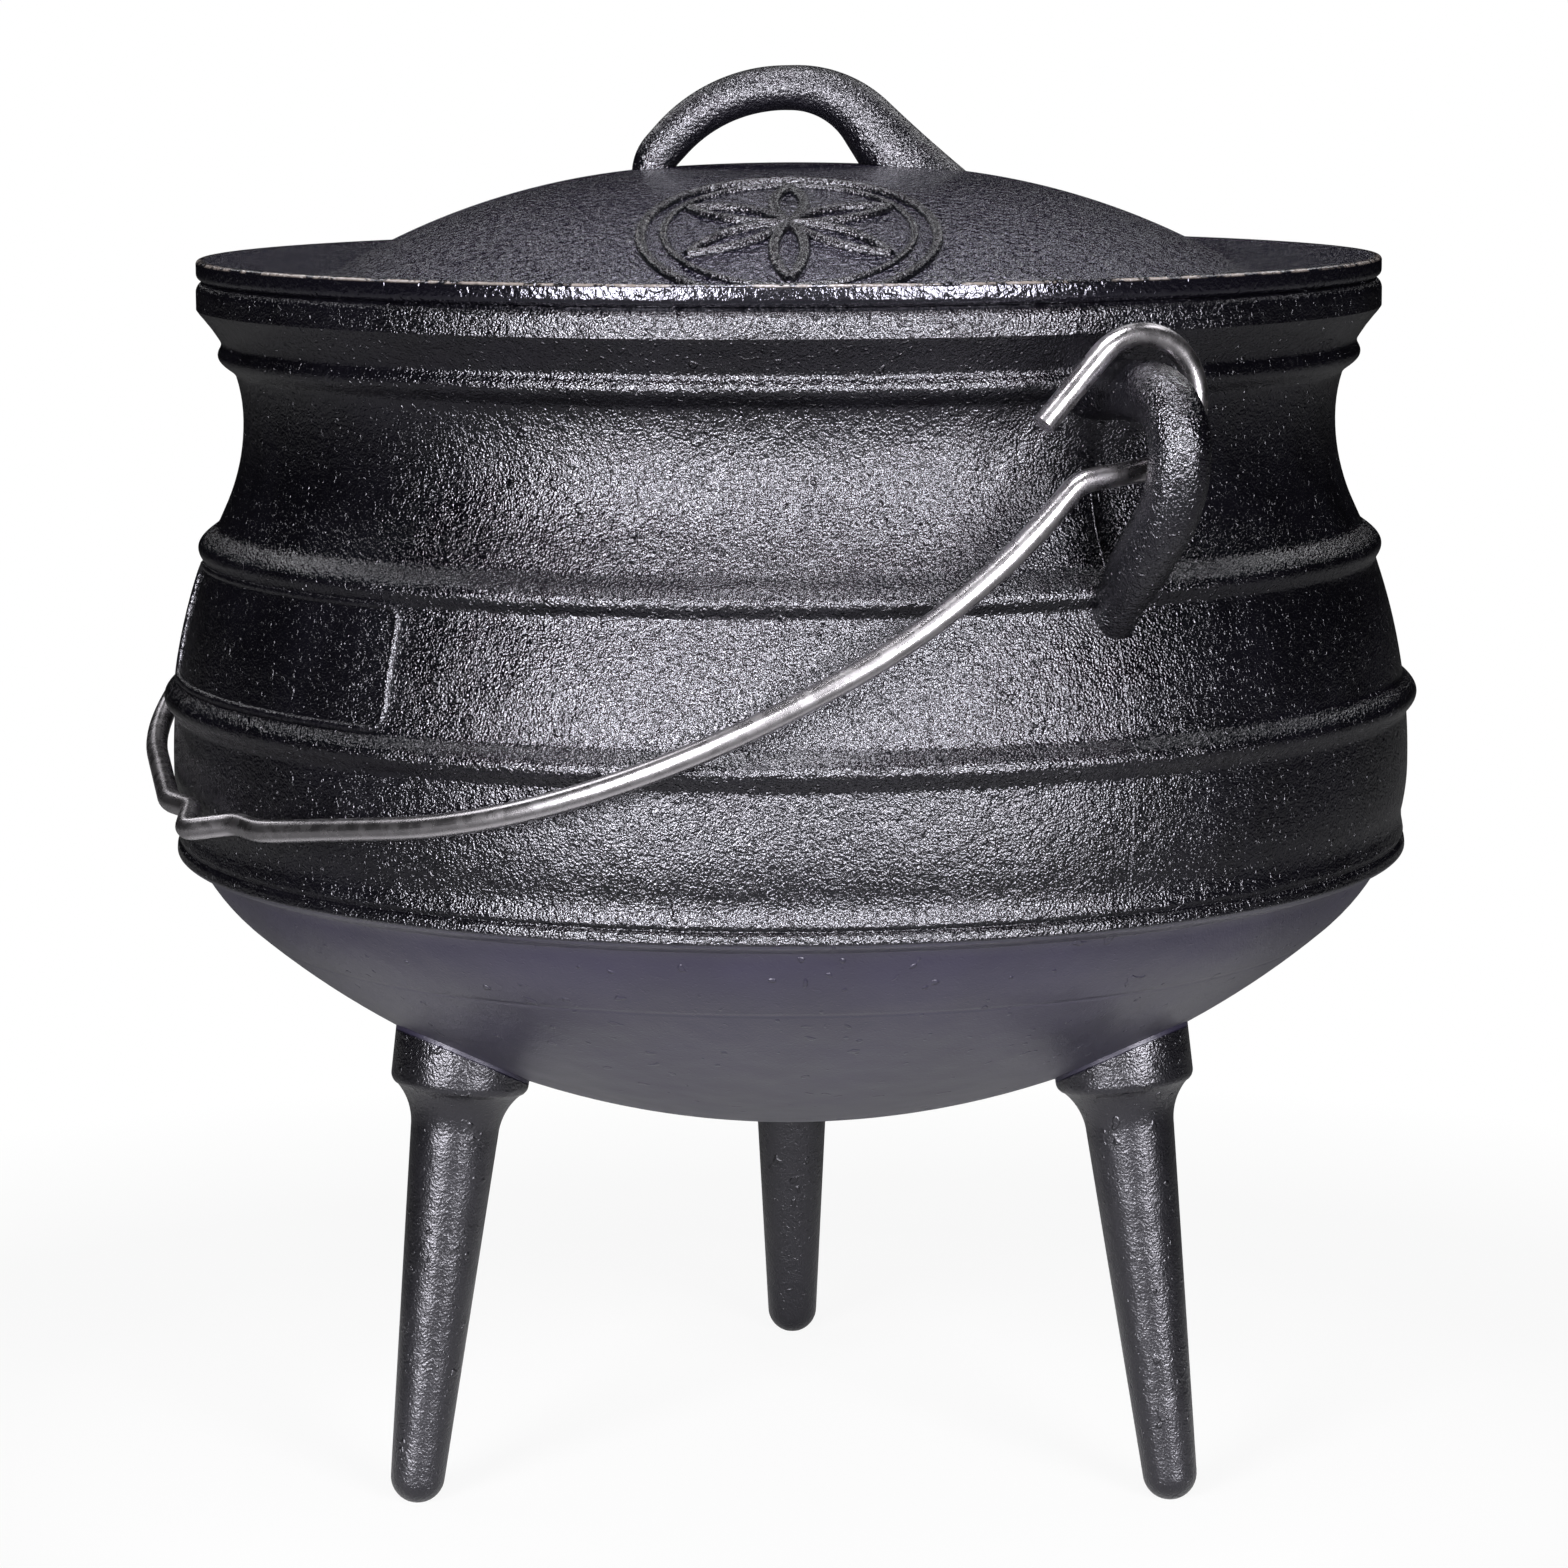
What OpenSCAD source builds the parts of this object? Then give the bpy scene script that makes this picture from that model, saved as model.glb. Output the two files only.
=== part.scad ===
// Three-legged cast iron pot with a ribbed belly, a loose lid and a wire bail.
// Millimetres. The origin is on the pot's axis at the ground, and the ears lie along X.

/* [Pot body] */
// Outer radius of the belly's upright wall
belly_r = 138.8; // [128:0.1:150]
// How far the narrowest part of the neck lies inside the belly's outer radius
neck_in = 17; // [13:0.1:26]
// How far the mouth's lip stands out beyond the narrowest part of the neck
lip_out = 9.9; // [8:0.1:16]
// Outer radius of the round bottom
bowl_r = 186.2; // [170:0.1:220]
// Radius of the turn from the bottom into the belly
shoulder_r = 46.2; // [38:0.1:56]
// Height of the upright wall above that turn
belly_flat = 1.2; // [0.5:0.1:10]
// Share of the side's curve that bulges, below the hollow of the neck
belly_bulge = 0.74; // [0.6:0.01:0.82]
// Height of the rim above the ground
rim_z = 268.2; // [255:0.1:300]
// Height of the bottom's lowest point above the ground
under_z = 79.2; // [65:0.1:95]
// Thickness of the wall
wall = 4.8; // [3.5:0.1:6.5]
// Depth of the neck below the rim
neck_drop = 30.8; // [26:0.1:36]
// Height of the lip's upright face
lip_h = 6.6; // [4:0.1:9]
// Width of the lip's flat top, with its rounded edge
lip_w = 7; // [5.5:0.1:10]
// Radius of the lip's outer edge
lip_round = 2.6; // [1:0.1:3]

/* [Bands] */
// Depth of the bead under the mouth below the rim
bead_drop = 17.2; // [15:0.1:20]
// Depth of the upper band below the rim
upper_band_drop = 58.2; // [50:0.1:66]
// Depth of the middle band below the rim
middle_band_drop = 91.7; // [84:0.1:100]
// Depth of the lower band below the rim
lower_band_drop = 125.8; // [118:0.1:132]
// How far the bead stands out
bead_proud = 2.5; // [1.5:0.1:4.5]
// How far the upper and middle bands stand out
band_proud = 2.7; // [1.5:0.1:4.5]
// How far the lower band stands out
lower_band_proud = 3.7; // [1.5:0.1:5.5]
// Height of the bead
bead_h = 6.2; // [5:0.1:8]
// Height of each band
band_h = 7.6; // [6:0.1:12]

/* [Ears] */
// How far the ear's outer run stands out from the lip, to the bar's middle
ear_out = 22.3; // [18:0.1:30]
// Depth of the ear's top run below the rim, to the bar's middle
ear_drop = 17.6; // [15:0.1:24]
// Height from the ear's lower corner to its top run
ear_side = 19.7; // [16:0.1:26]
// Slope of the ear's lower run
ear_slope = 48.9; // [40:0.1:56]
// Diameter of the ear's bar
ear_d = 12.6; // [9:0.1:15]
// Radius of the ear's upper bend, to the bar's middle
ear_bend = 11; // [8:0.1:14]
// Radius of the ear's lower bend, to the bar's middle
ear_lower_bend = 24; // [14:0.1:30]
// Depth of the ear's ends inside the neck's surface
ear_root_in = 14; // [10:0.1:18]

/* [Legs] */
// Distance of a foot from the pot's axis
foot_reach = 96.3; // [85:0.1:110]
// Lean of a leg from upright
leg_splay = 7.6; // [3:0.1:12]
// Radius of the rounded foot
foot_r = 6; // [4:0.1:8]
// Depth of the worn flat under the foot
foot_flat = 0.4; // [0.2:0.1:0.8]
// Radius of a leg at its top
leg_r = 9.7; // [8:0.1:12]
// Radius of the collar where a leg joins the bottom
collar_r = 15.2; // [13:0.1:18]
// Height of the collar's lower edge, measured along the leg
collar_h = 87.3; // [78:0.1:94]
// Height of the hollow turn from leg to collar
cove_h = 9.6; // [6:0.1:14]
// Width of the collar's rounded lower edge
collar_edge = 0.8; // [0.3:0.1:1.5]

/* [Lid] */
// How far the lid's edge lies inside the edge of the lip
lid_in = 0.1; // [0:0.1:2]
// Height of the lid's rim
lid_rim_h = 4.5; // [3:0.1:7]
// Height of the lid's middle above the seat
lid_h = 24.8; // [20:0.1:30]
// Radius of the gentle crown in the middle
crown_r = 430; // [300:1:600]
// Distance from the axis where the crown ends
crown_edge = 30; // [20:0.1:40]
// Distance from the lid's edge inwards to the gutter's lowest point
gutter_in = 27; // [24:0.1:32]
// Thickness of the lid
lid_wall = 4.5; // [3.5:0.1:6]
// Radius of the turn at the foot of the dome
gutter_r = 8; // [4:0.1:12]
// Height of the gutter's lowest point above the seat
gutter_z = 0.6; // [0:0.1:1.5]
// Rounding of the lid's edges
lid_edge = 0.8; // [0.3:0.1:1.5]
// Play between the lid's register and the inside of the lip
lid_play = 2.5; // [1:0.1:4]
// Turn of the lid on the pot
lid_turn = 60; // [0:1:360]

/* [Lid handle] */
// Height of the handle above the lid's middle
grip_h = 21.6; // [18:0.1:28]
// Diameter of the handle's bar
grip_d = 9.9; // [8:0.1:12]
// Distance of the handle's straight foot from the lid's axis
grip_left = 30.2; // [27:0.1:34]
// Distance of the handle's flared foot from the lid's axis
grip_right = 25.6; // [21:0.1:28]
// Slope of the bar above the straight foot
grip_left_slope = 47.5; // [42:0.1:56]
// Slope of the bar above the flared foot
grip_right_slope = 50.6; // [44:0.1:56]
// Height of the bend above the straight foot
grip_knee = 1.7; // [1:0.1:3]
// Radius of the bend above the straight foot
grip_foot_bend = 8; // [7:0.1:10]
// Diameter of the flared foot where it meets the lid
grip_flare_d = 14.8; // [13:0.1:18]

/* [Bail] */
// Diameter of the wire
wire_d = 4.8; // [3.5:0.1:6]
// Distance of the hook inwards from the ear's outer run
hook_in = 14; // [12:0.1:16]
// Depth of the hinge axis below the middle of the ear's top run
hinge_drop = 2.2; // [0:0.1:4]
// Gap between the ear's bar and the hook, above the bar
hook_play = 2.7; // [1.5:0.1:4]
// Reach of the hook's free end from the hinge axis
tail_reach = 23.3; // [20:0.1:26]
// Reach of the bend below the hook from the hinge axis
bend_reach = 21; // [19:0.1:24]
// Radius of that bend
bend_r = 8; // [6:0.1:12]
// Depth of the bail's middle below the hinge axis as it hangs
bail_drop = 90.9; // [85:0.1:98]
// Depth of the bail's corners below the hinge axis as it hangs
corner_drop = 80.4; // [72:0.1:84]
// Reach of the straight sides from the hinge axis
side_reach = 57.6; // [50:0.1:64]
// Turn of the corners round the belly from the line of the ears
corner_turn = 46; // [40:0.1:50]
// How far the corners of the bail stand clear of the belly
corner_out = 17; // [15:0.1:26]
// Radius of the wire's bend at the corners
corner_r = 113; // [80:1:120]
// Gap between the resting bail and the belly
rest_gap = 0.5; // [0.3:0.1:2]
// Half the width of the notch in the bail's middle
notch_w = 12; // [9:0.1:16]
// Depth of the notch
notch_depth = 6.8; // [5:0.1:10]

/* [Hidden] */
$fn = 96;
iron = [0.10, 0.10, 0.11];
lid_iron = [0.13, 0.13, 0.15];
steel = [0.74, 0.73, 0.71];
bend_lap = 0.2;
bend_slim = 0.02;

neck_r = belly_r - neck_in;
mouth_r = neck_r + lip_out;

// Heights and centres of the pot's side, from the ground up
bowl_cz = under_z + bowl_r;
shoulder_z = bowl_cz - sqrt(pow(bowl_r - shoulder_r, 2) - pow(belly_r - shoulder_r, 2));
bowl_join = atan2(shoulder_z - bowl_cz, belly_r - shoulder_r);
belly_top = shoulder_z + belly_flat;
neck_z = rim_z - neck_drop;
lip_z = rim_z - lip_h;

// The side's two arcs are upright at the belly and at the neck, and meet where they have one slope
waist_sum = (pow(belly_r - neck_r, 2) + pow(neck_z - belly_top, 2)) / (2 * (belly_r - neck_r));
bulge_r = belly_bulge * waist_sum;
hollow_r = waist_sum - bulge_r;
waist_sin = (neck_z - belly_top) / waist_sum;
flare_r = (pow(mouth_r - neck_r, 2) + pow(lip_z - neck_z, 2)) / (2 * (mouth_r - neck_r));
mouth_inner_r = mouth_r - lip_w;

// Each band is the height of its middle, how far it stands out, and its own height
bands = [
    [rim_z - lower_band_drop, lower_band_proud, band_h],
    [rim_z - middle_band_drop, band_proud, band_h],
    [rim_z - upper_band_drop, band_proud, band_h],
    [rim_z - bead_drop, bead_proud, bead_h]
];

function arc(c, r, from, to, n) =
    [for (i = [0:n]) let (a = from + (to - from) * i / n) [c[0] + r * cos(a), c[1] + r * sin(a)]];

// Radius of the plain side at height z, t inside the outer surface
function side_r(z, t = 0) =
    z < shoulder_z ? belly_r - shoulder_r + sqrt(pow(shoulder_r - t, 2) - pow(shoulder_z - z, 2)) :
    z < belly_top ? belly_r - t :
    z < belly_top + (bulge_r - t) * waist_sin ?
        belly_r - bulge_r + sqrt(pow(bulge_r - t, 2) - pow(z - belly_top, 2)) :
    z < neck_z ? neck_r + hollow_r - sqrt(pow(hollow_r + t, 2) - pow(neck_z - z, 2)) :
    neck_r + flare_r - sqrt(pow(flare_r + t, 2) - pow(z - neck_z, 2));

// A band stands out of the wall as one half wave
function swell(z, band) =
    abs(z - band[0]) < band[2] / 2 ? band[1] * cos(180 * (z - band[0]) / band[2]) : 0;
function band_r(z) = max([for (band = bands) swell(z, band)]);

// Heights along the side: fine on the bands, coarse between them
side_start = bowl_cz + bowl_r * sin(bowl_join);
side_marks = concat(
    [side_start],
    [for (band = bands) each [band[0] - band[2] / 2, band[0] + band[2] / 2]],
    [lip_z]
);
band_steps = 10;
plain_steps = 5;
function side_heights() = [
    for (i = [0:len(side_marks) - 2])
        let (n = i % 2 == 1 ? band_steps : plain_steps)
            for (j = [0:n - 1]) side_marks[i] + (side_marks[i + 1] - side_marks[i]) * j / n
];

module pot_outer() {
    lip_c = [mouth_r - lip_round, rim_z - lip_round];
    rotate_extrude()
        polygon(concat(
            arc([0, bowl_cz], bowl_r, -90, bowl_join, 16),
            [for (z = side_heights()) if (z > side_start) [side_r(z) + band_r(z), z]],
            [[mouth_r, lip_z]],
            arc(lip_c, lip_round, 0, 90, 4),
            [[0, rim_z]]
        ));
}

// The inside follows the outside at the wall's thickness, without the bands
module pot_inside() {
    flare_angle = acos((neck_r + flare_r - mouth_inner_r) / (flare_r + wall));
    inner_start = bowl_cz + (bowl_r - wall) * sin(bowl_join);
    inner_top = neck_z + (flare_r + wall) * sin(flare_angle);
    steps = 36;
    rotate_extrude()
        polygon(concat(
            arc([0, bowl_cz], bowl_r - wall, -90, bowl_join, 14),
            [for (i = [1:steps - 1])
                let (z = inner_start + (inner_top - inner_start) * i / steps) [side_r(z, wall), z]],
            [[mouth_inner_r, inner_top], [mouth_inner_r, rim_z + 1], [0, rim_z + 1]]
        ));
}

function unit(v) = v / norm(v);

// Half the length that a round bend of radius r takes from each side of a corner
function bend_take(a, b, c, r) = r * tan(acos(unit(b - a) * unit(c - b)) / 2);

module straight(a, b, d) {
    v = b - a;
    translate(a)
        rotate([0, acos(v[2] / norm(v)), atan2(v[1], v[0])])
            cylinder(h = norm(v), d = d);
}

// Round bend in a bar of diameter d, at the corner b between a and c
module bend(a, b, c, r, d) {
    along = unit(b - a);
    turn = acos(along * unit(c - b));
    normal = unit(cross(along, unit(c - b)));
    out = cross(along, normal);
    start = b - along * bend_take(a, b, c, r);
    centre = start - out * r;
    multmatrix([
        [out[0], along[0], normal[0], centre[0]],
        [out[1], along[1], normal[1], centre[1]],
        [out[2], along[2], normal[2], centre[2]],
        [0, 0, 0, 1]
    ])
        rotate_extrude(angle = turn)
            translate([r, 0])
                circle(d = d);
}

// Round bar along a path of corners, with one bend radius for each inner corner.
// Each stretch laps a little way round the bends beside it, which are a hair thinner, so all fuse.
module bent_bar(path, radii, d) {
    last = len(path) - 1;
    takes = [for (i = [0:last]) i == 0 || i == last ? 0 :
        bend_take(path[i - 1], path[i], path[i + 1], radii[i - 1])];
    for (i = [0:last - 1]) {
        v = unit(path[i + 1] - path[i]);
        straight(
            path[i] + v * (takes[i] - (i > 0 ? bend_lap : 0)),
            path[i + 1] - v * (takes[i + 1] - (i < last - 1 ? bend_lap : 0)),
            d
        );
    }
    for (i = [1:last - 1])
        bend(path[i - 1], path[i], path[i + 1], radii[i - 1], d - bend_slim);
}

ear_reach = mouth_r + ear_out;
ear_z = rim_z - ear_drop;
ear_root = neck_r - ear_root_in;

// One ear: a bar out of the neck, down its outer run and back into the wall
module ear() {
    low = ear_z - ear_side;
    fall = (ear_reach - ear_root) * tan(ear_slope);
    bent_bar(
        [[ear_root, 0, ear_z], [ear_reach, 0, ear_z], [ear_reach, 0, low], [ear_root, 0, low - fall]],
        [ear_bend, ear_lower_bend],
        ear_d
    );
}

// One leg along +X: rounded foot, tapered shank, hollow turn and collar
module leg() {
    cove_w = collar_r - leg_r - collar_edge;
    cove_r = (pow(cove_w, 2) + pow(cove_h, 2)) / (2 * cove_w);
    shank_h = collar_h - cove_h;
    // The collar ends inside the wall, whose nearest point is the bottom's curve above the foot
    across = foot_reach / cos(leg_splay);
    collar_top = (bowl_cz - foot_r + foot_flat - across * sin(leg_splay)) / cos(leg_splay)
        - sqrt(pow(bowl_r, 2) - pow(across, 2)) + collar_r;
    translate([foot_reach, 0, foot_r - foot_flat])
        rotate([0, -leg_splay, 0])
            rotate_extrude()
                polygon(concat(
                    arc([0, 0], foot_r, -90, 0, 8),
                    arc([leg_r + cove_r, shank_h], cove_r, 180, 180 - asin(cove_h / cove_r), 6),
                    [[collar_r, collar_h + collar_edge], [collar_r, collar_top], [0, collar_top]]
                ));
}

module pot() {
    color(iron)
        difference() {
            union() {
                pot_outer();
                for (side = [0, 180])
                    rotate([0, 0, side]) ear();
                for (turn = [-90, 30, 150])
                    rotate([0, 0, turn]) leg();
            }
            pot_inside();
            translate([0, 0, -foot_r])
                cylinder(h = foot_r, r = 2 * foot_reach);
        }
}

lid_top_z = rim_z + lid_h;
register_r = mouth_inner_r - lid_play;
register_z = rim_z + gutter_z - lid_wall;

lid_r = mouth_r - lid_in;

// The gutter's turn has its lowest point under its centre, then rises a little
gutter_c = [lid_r - gutter_in, rim_z + gutter_z + gutter_r];

// The dome's arc goes on from the crown's arc with the same slope, and touches the gutter's turn
crown_cz = lid_top_z - crown_r;
crown_angle = acos(crown_edge / crown_r);
crown_way = [cos(crown_angle), sin(crown_angle)];
to_gutter = [0, crown_cz] + crown_r * crown_way - gutter_c;
dome_r = (to_gutter * to_gutter - pow(gutter_r, 2)) / (2 * (gutter_r + to_gutter * crown_way));
dome_c = [0, crown_cz] + (crown_r - dome_r) * crown_way;
dome_end = atan2(gutter_c[1] - dome_c[1], gutter_c[0] - dome_c[0]);
gutter_rise = 9;
rim_fall = lid_edge / 4;

module lid_shell() {
    rim_top = rim_z + lid_rim_h;
    rotate_extrude()
        polygon(concat(
            arc([0, crown_cz], crown_r, 90, crown_angle, 4),
            arc(dome_c, dome_r, crown_angle, dome_end, 12),
            arc(gutter_c, gutter_r, 180 + dome_end, 270 + gutter_rise, 6),
            [[lid_r - 5 * lid_edge, rim_top - rim_fall]],
            arc([lid_r - lid_edge, rim_top - lid_edge], lid_edge, 90, 0, 3),
            arc([lid_r - lid_edge, rim_z + lid_edge], lid_edge, 0, -90, 3),
            [[register_r, rim_z], [register_r, register_z], [0, register_z]]
        ));
}

// The hollow under the dome, at the lid's thickness, open below
module lid_hollow() {
    inner_end = asin((register_z - dome_c[1]) / (dome_r - lid_wall));
    foot = dome_c[0] + (dome_r - lid_wall) * cos(inner_end);
    rotate_extrude()
        polygon(concat(
            [[0, under_z], [foot, under_z]],
            arc(dome_c, dome_r - lid_wall, inner_end, crown_angle, 12),
            arc([0, crown_cz], crown_r - lid_wall, crown_angle, 90, 4)
        ));
}

function crown_z(r) = crown_cz + sqrt(pow(crown_r, 2) - pow(r, 2));

// The loop on the lid, with one straight foot and one that flares out.
// Both feet run on through the lid, and the hollow cuts them off.
module grip() {
    top = lid_top_z + grip_h - grip_d / 2;
    knee = crown_z(grip_left) + grip_knee;
    foot = crown_z(grip_right);
    low = crown_z(grip_left) - 2 * lid_wall;
    left_top = -grip_left + (top - knee) / tan(grip_left_slope);
    right_top = grip_right - (top - foot) / tan(grip_right_slope);
    right_low = grip_right + (foot - low) / tan(grip_right_slope);

    // The bend over the straight foot takes the larger share of the top
    left_take = min(0.6 * (right_top - left_top), 0.7 * (top - knee) / sin(grip_left_slope));
    right_take = 0.38 * (right_top - left_top);
    bent_bar(
        [[-grip_left, 0, low], [-grip_left, 0, knee], [left_top, 0, top], [right_top, 0, top],
         [right_low, 0, low]],
        [grip_foot_bend, left_take / tan(grip_left_slope / 2), right_take / tan(grip_right_slope / 2)],
        grip_d
    );

    // The flare starts inside the bend, at four fifths of the bar
    down = [cos(grip_right_slope), 0, -sin(grip_right_slope)];
    start = [right_top, 0, top] + down * right_take / 2;
    start_d = 0.8 * grip_d;
    to_foot = (start[2] - foot) / sin(grip_right_slope);
    to_low = (start[2] - low) / sin(grip_right_slope);
    translate(start)
        rotate([0, 90 + grip_right_slope, 0])
            cylinder(h = to_low, d1 = start_d, d2 = start_d + (grip_flare_d - start_d) * to_low / to_foot);
}

module lid() {
    color(lid_iron)
        rotate([0, 0, lid_turn])
            difference() {
                union() {
                    lid_shell();
                    grip();
                }
                lid_hollow();
            }
}

hinge_z = ear_z - hinge_drop;
hook_x = ear_reach - hook_in;
hook_r = ear_d / 2 + hinge_drop + hook_play + wire_d / 2;

// Directions seen along X, turning from +Y to +Z
tail_angle = 188.7;
bend_angle = 226.4;
side_angle = 224.7;

// Bends of the wire from its sides to the notch
side_bend = 135;
middle_bend = 20;
notch_bend = 9;
notch_tip = 5;

function at_hinge(r, angle) = [hook_x, r * cos(angle), hinge_z + r * sin(angle)];

// The hook leaves the tail and meets the bend along tangents, and has equal turns between them
hook_turns = 3;
tail_leave = tail_angle - acos(hook_r / tail_reach);
bend_meet = bend_angle - 360 + acos(hook_r / bend_reach);
hook_turn = (tail_leave - bend_meet) / hook_turns;
hook_path = [
    at_hinge(tail_reach, tail_angle),
    for (i = [0:hook_turns - 1])
        at_hinge(hook_r / cos(hook_turn / 2), tail_leave - (i + 0.5) * hook_turn),
    at_hinge(bend_reach, bend_angle)
];

function mirrored(path) = [for (i = [len(path) - 1:-1:0]) [-path[i][0], path[i][1], path[i][2]]];
function reversed(list) = [for (i = [len(list) - 1:-1:0]) list[i]];

// The middle of the wire and its two runs to the corners all touch one circle, which clears the belly
bail_z = hinge_z - bail_drop;
rest_r = side_r(max(bail_z, shoulder_z)) + wire_d / 2 + rest_gap;
corner_reach = belly_r + corner_out;
run_turn = 90 - corner_turn - acos(rest_r / corner_reach);

// One wire from hook to hook, as it hangs against the belly
module bail() {
    corner = corner_reach * [cos(corner_turn), -sin(corner_turn)];
    fall = (bail_drop - corner_drop) / (corner[1] + rest_r);
    half = concat(hook_path, [
        at_hinge(side_reach, side_angle),
        [corner[0], corner[1], hinge_z - corner_drop],
        [rest_r * tan(run_turn / 2), -rest_r, bail_z],
        [notch_w, -rest_r, bail_z]
    ]);
    tip = [0, -rest_r - notch_depth, bail_z - notch_depth * fall];
    radii = [for (i = [1:hook_turns]) hook_r, bend_r, side_bend, corner_r, middle_bend, notch_bend];
    color(steel)
        bent_bar(concat(half, [tip], mirrored(half)), concat(radii, [notch_tip], reversed(radii)), wire_d);
}

pot();
lid();
bail();
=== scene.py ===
import math

import bpy
from bpy.props import FloatProperty, FloatVectorProperty, IntProperty, PointerProperty
from mathutils import Matrix, Vector


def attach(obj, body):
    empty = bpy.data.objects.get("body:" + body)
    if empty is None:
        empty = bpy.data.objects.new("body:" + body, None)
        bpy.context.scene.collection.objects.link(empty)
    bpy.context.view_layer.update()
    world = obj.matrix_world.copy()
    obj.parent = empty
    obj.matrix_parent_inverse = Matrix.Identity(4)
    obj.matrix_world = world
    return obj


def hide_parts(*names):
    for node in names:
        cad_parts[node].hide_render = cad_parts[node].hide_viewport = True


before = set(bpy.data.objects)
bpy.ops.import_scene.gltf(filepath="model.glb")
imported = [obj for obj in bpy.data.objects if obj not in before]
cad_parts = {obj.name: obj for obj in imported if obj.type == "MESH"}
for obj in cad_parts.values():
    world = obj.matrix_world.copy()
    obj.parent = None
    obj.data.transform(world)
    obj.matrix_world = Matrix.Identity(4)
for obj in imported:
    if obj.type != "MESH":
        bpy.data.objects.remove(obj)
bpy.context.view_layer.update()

bl_info = {
    "name": "Three-legged cast iron pot",
    "version": (1, 0, 0),
    "blender": (4, 5, 0),
    "location": "View3D > Sidebar > Iron Pot",
    "description": "Models and stages a banded cast iron pot with a lid and a wire bail",
    "category": "Add Mesh",
}

MM = 0.001
BAR_JOIN, SPIN_JOIN = 1e-6, 2e-5        # points closer than this, in metres, are merged


def length(name, text, value, low, high):
    return FloatProperty(name=name, description=text, default=value * MM, min=low * MM, max=high * MM,
                         unit="LENGTH", precision=5)


def turn(name, text, degrees, low, high):
    return FloatProperty(name=name, description=text, default=math.radians(degrees), min=math.radians(low),
                         max=math.radians(high), subtype="ANGLE")


def tint(name, text, value):
    return FloatVectorProperty(name=name, description=text, default=value, size=3, min=0.0, max=1.0,
                               subtype="COLOR")


def share(name, text, value, low, high):
    return FloatProperty(name=name, description=text, default=value, min=low, max=high, subtype="FACTOR")


class PotSizes(bpy.types.PropertyGroup):
    rim_z: length("Rim height", "Height of the mouth's rim above the ground", 268.2, 255, 300)
    belly_r: length("Belly radius", "Outer radius of the upright wall", 138.8, 128, 150)
    neck_r: length("Neck radius", "Outer radius where the neck is narrowest", 121.8, 112, 126)
    mouth_r: length("Mouth radius", "Outer radius of the lip", 131.7, 128, 140)
    bowl_r: length("Bottom radius", "Radius of the round bottom", 186.2, 170, 220)
    shoulder_r: length("Shoulder radius", "Radius of the turn from bottom to belly", 46.2, 38, 56)
    belly_flat: length("Upright wall", "Height of the upright wall", 1.2, 0.5, 10)
    belly_bulge: share("Bulge share", "Share of the side's curve that bulges", 0.74, 0.6, 0.82)
    under_z: length("Bottom height", "Height of the bottom's lowest point", 79.2, 65, 95)
    wall: length("Wall", "Thickness of the wall", 4.8, 3.5, 6.5)
    neck_drop: length("Neck depth", "Depth of the neck below the rim", 30.8, 26, 36)
    lip_h: length("Lip height", "Height of the lip's upright face", 6.6, 4, 9)
    lip_w: length("Lip width", "Width of the lip's flat top", 7.0, 5.5, 10)
    lip_round: length("Lip rounding", "Radius of the lip's outer edge", 2.6, 1, 3)
    bead_drop: length("Bead depth", "Depth of the bead below the rim", 17.2, 15, 20)
    upper_band_drop: length("Upper band depth", "Depth of the upper band below the rim", 58.2, 50, 66)
    middle_band_drop: length("Middle band depth", "Depth of the middle band below the rim", 91.7, 84, 100)
    lower_band_drop: length("Lower band depth", "Depth of the lower band below the rim", 125.8, 118, 132)
    bead_proud: length("Bead projection", "How far the bead stands out", 2.5, 1.5, 4.5)
    band_proud: length("Band projection", "How far the upper bands stand out", 2.7, 1.5, 4.5)
    lower_band_proud: length("Lower band projection", "How far the lower band stands out", 3.68, 1.5, 5.5)
    bead_h: length("Bead height", "Height of the bead", 6.2, 5, 8)
    band_h: length("Band height", "Height of each band", 7.6, 6, 12)
    ear_out: length("Ear reach", "Reach of the ears beyond the lip", 22.29, 18, 30)
    ear_drop: length("Ear depth", "Depth of the ears' top run below the rim", 17.6, 15, 24)
    ear_side: length("Ear side", "Height of the ears' outer run", 19.7, 16, 26)
    ear_slope: turn("Ear slope", "Slope of the ears' lower run", 47.6, 40, 56)
    ear_d: length("Ear bar", "Diameter of the ears' bar", 12.6, 9, 15)
    ear_bend: length("Ear bend", "Radius of the ears' upper bend", 11, 8, 14)
    ear_lower_bend: length("Ear lower bend", "Radius of the ears' lower bend", 22, 14, 30)
    foot_reach: length("Foot reach", "Distance of a foot from the axis", 96.3, 85, 110)
    leg_splay: turn("Leg lean", "Lean of a leg from upright", 7.6, 3, 12)
    foot_r: length("Foot radius", "Radius of the rounded foot", 6, 4, 8)
    foot_flat: length("Foot wear", "Depth of the worn flat under a foot", 0.4, 0.2, 0.8)
    leg_r: length("Leg radius", "Radius of a leg at its top", 9.7, 8, 12)
    collar_r: length("Collar radius", "Radius of the collar", 15.2, 13, 18)
    collar_h: length("Collar height", "Height of the collar's lower edge along the leg", 87.3, 78, 94)
    cove_h: length("Cove height", "Height of the hollow turn under the collar", 9.6, 6, 14)
    frame_turn: turn("Frame width", "Half the turn that the raised frame covers", 22.6, 10, 30)
    frame_z: length("Frame height above ground", "Height of the raised frame's middle", 193.5, 185, 200)
    frame_h: length("Frame height", "Height of the raised frame", 25, 15, 30)
    ring_steps: IntProperty(name="Turned steps", description="Faces round the pot", default=256,
                            min=64, max=320)


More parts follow.
